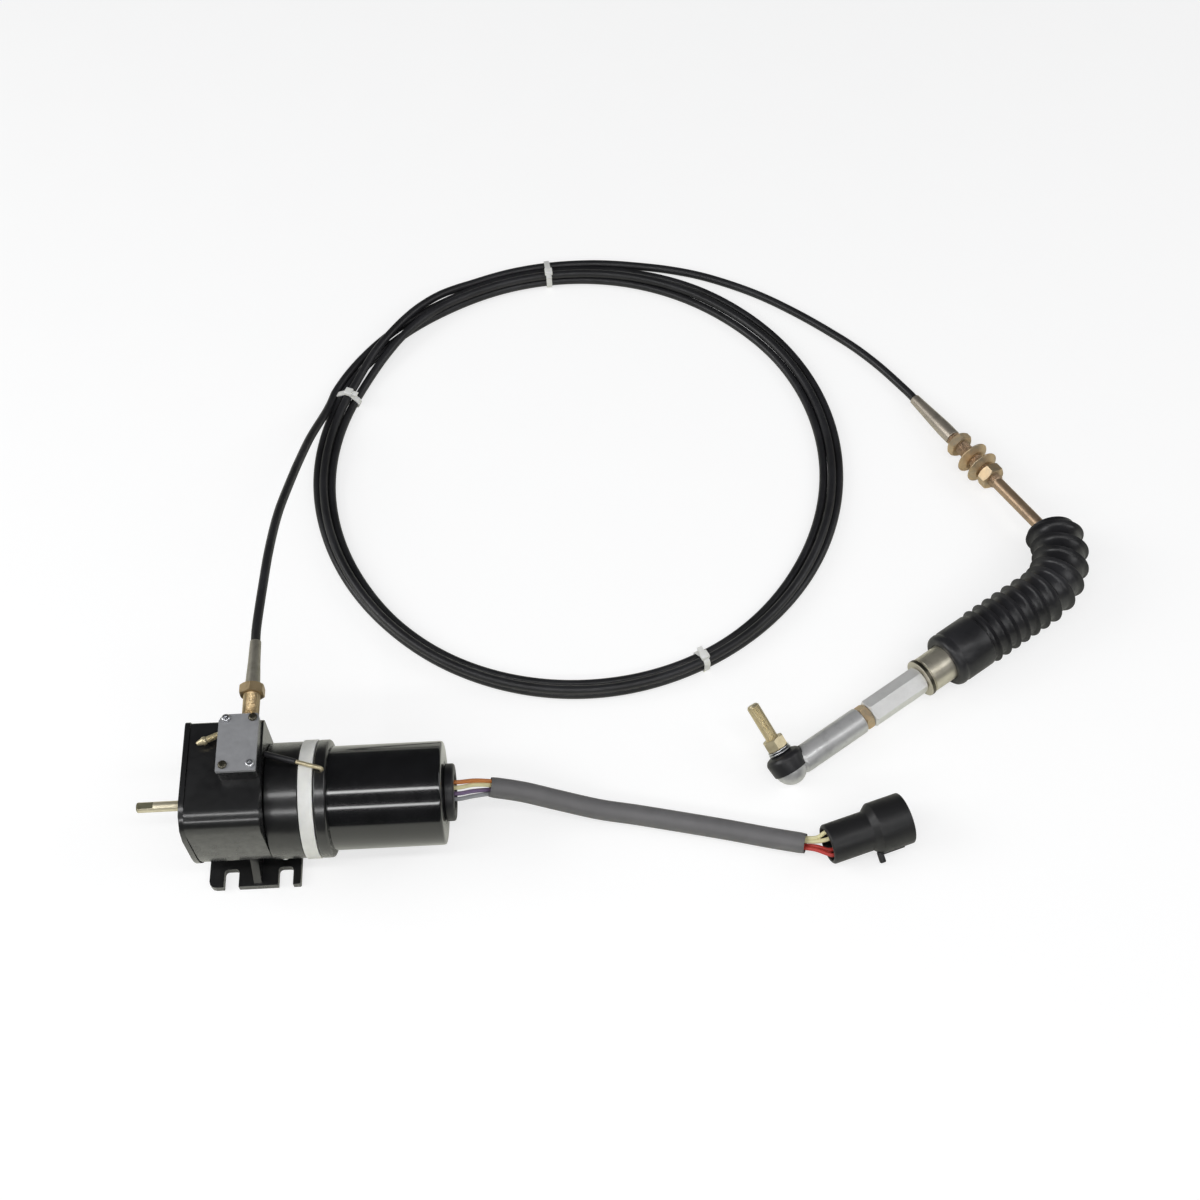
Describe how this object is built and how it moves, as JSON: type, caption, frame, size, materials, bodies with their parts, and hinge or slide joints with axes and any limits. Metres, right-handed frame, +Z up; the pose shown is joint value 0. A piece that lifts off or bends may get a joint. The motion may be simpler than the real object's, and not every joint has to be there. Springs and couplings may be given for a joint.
{
  "type": "throttle motor",
  "caption": "Geared electric motor with an end pin, a slotted foot and a push-pull cable that ends in a bellows and a ball joint.",
  "frame": {"origin": "centre of the foot's underside", "axes": "+X along the shafts from the output pin towards the motor can and its lead, +Y the way the cable leaves, +Z up from the foot"},
  "size_m": [0.7223, 0.5968, 0.1105],
  "materials": {
    "black_paint": "glossy black paint over cast and drawn metal",
    "zinc": "bright zinc plate",
    "white_plastic": "natural white nylon",
    "black_rubber": "black rubber with a soft sheen",
    "bronze": "sintered bronze bearing",
    "black_plastic": "moulded black plastic",
    "yellow_zinc": "yellow passivated zinc plate",
    "steel": "plain machined steel",
    "copper": "copper windings and segments",
    "ferrite": "dark fired ferrite",
    "grey_sheath": "light grey flexible sheath"
  },
  "bodies": {
    "housing": {"bellows": "black_rubber", "bond_lead": "black_rubber", "bond_terminal": "yellow_zinc", "boss_cover": "zinc", "brush_holder": "black_plastic", "cable_coil": "black_rubber", "cable_hub": "yellow_zinc", "cable_tie_1": "white_plastic", "cable_tie_2": "white_plastic", "cable_tie_3": "white_plastic", "connector": "black_plastic", "cover_screw_1": "zinc", "cover_screw_2": "zinc", "cover_screw_3": "zinc", "cover_screw_4": "zinc", "end_plate": "black_paint", "far_cable": "black_rubber", "far_ferrule": "zinc", "far_hub": "yellow_zinc", "ferrule_nut": "zinc", "flange_nut_1": "yellow_zinc", "flange_nut_2": "yellow_zinc", "gear_housing": "black_paint", "gearbox_barrel": "black_paint", "hub_nut": "zinc", "inner_bush": "bronze", "inner_core": "steel", "layshaft_pin": "steel", "lead_sheath": "grey_sheath", "lock_nut": "zinc", "magnet_lower": "ferrite", "magnet_upper": "ferrite", "motor_can": "black_paint", "motor_flange": "black_paint", "motor_wires": "white_plastic", "near_cable": "black_rubber", "near_ferrule": "zinc", "plug_wires": "white_plastic", "position_sensor": "black_plastic", "rear_bearing": "steel", "rear_grommet": "black_rubber", "shaft_seal": "black_rubber", "side_screw": "yellow_zinc", "spacer_ring": "white_plastic"},
    "output": {"output_shaft": "yellow_zinc", "output_gear": "steel", "output_lever": "steel"},
    "layshaft": {"lay_gear": "steel"},
    "armature": {"armature_shaft": "steel", "armature_core": "copper", "commutator": "copper"},
    "cable_core": {"core_rod": "steel"},
    "rod_end": {"end_sleeve": "zinc", "hex_rod": "zinc", "jam_nut": "yellow_zinc", "ball_housing": "zinc"},
    "boot_tilt": {"dust_boot": "black_rubber"},
    "boot_swing": {"boot_washer": "zinc", "boot_ring": "steel"},
    "ball_stud": {"ball_stud": "yellow_zinc"}
  },
  "joints": [
    {"name": "output_turn", "type": "hinge", "parent": "housing", "child": "output", "pos_m": [0, 0, 0.046], "axis": [-1, 0, 0], "range_deg": [0, 22]},
    {"name": "layshaft_turn", "type": "hinge", "parent": "housing", "child": "layshaft", "pos_m": [0, 0, 0.0252], "axis": [-1, 0, 0], "range_deg": [-75, 0]},
    {"name": "armature_turn", "type": "hinge", "parent": "housing", "child": "armature", "pos_m": [0, 0, 0.046], "axis": [-1, 0, 0], "range_deg": [0, 250]},
    {"name": "core_slide", "type": "slide", "parent": "housing", "child": "cable_core", "axis": [0, 1, 0], "range_m": [0, 0.0212]},
    {"name": "rod_slide", "type": "slide", "parent": "housing", "child": "rod_end", "axis": [-0.846, -0.5307, -0.0506], "range_m": [0, 0.0212], "deforming": ["bellows", "inner_core"]},
    {"name": "stud_tilt", "type": "hinge", "parent": "rod_end", "child": "boot_tilt", "pos_m": [0.39179, 0.02121, 0.014], "axis": [-0.846, -0.5307, -0.0506], "range_deg": [-12, 12], "deforming": ["dust_boot"]},
    {"name": "stud_swing", "type": "hinge", "parent": "boot_tilt", "child": "boot_swing", "pos_m": [0.39179, 0.02121, 0.014], "axis": [0.2328, -0.4531, 0.8605], "range_deg": [-12, 12], "deforming": ["dust_boot"]},
    {"name": "stud_spin", "type": "hinge", "parent": "boot_swing", "child": "ball_stud", "pos_m": [0.39179, 0.02121, 0.014], "axis": [-0.4796, 0.7163, 0.5069], "continuous": true}
  ],
  "couplings": [
    {"joint": "layshaft_turn", "follows": "output_turn", "ratio": -3.3333},
    {"joint": "armature_turn", "follows": "output_turn", "ratio": 11.111},
    {"joint": "core_slide", "follows": "output_turn", "m_per_rad": 0.0548},
    {"joint": "rod_slide", "follows": "output_turn", "m_per_rad": 0.0548}
  ]
}
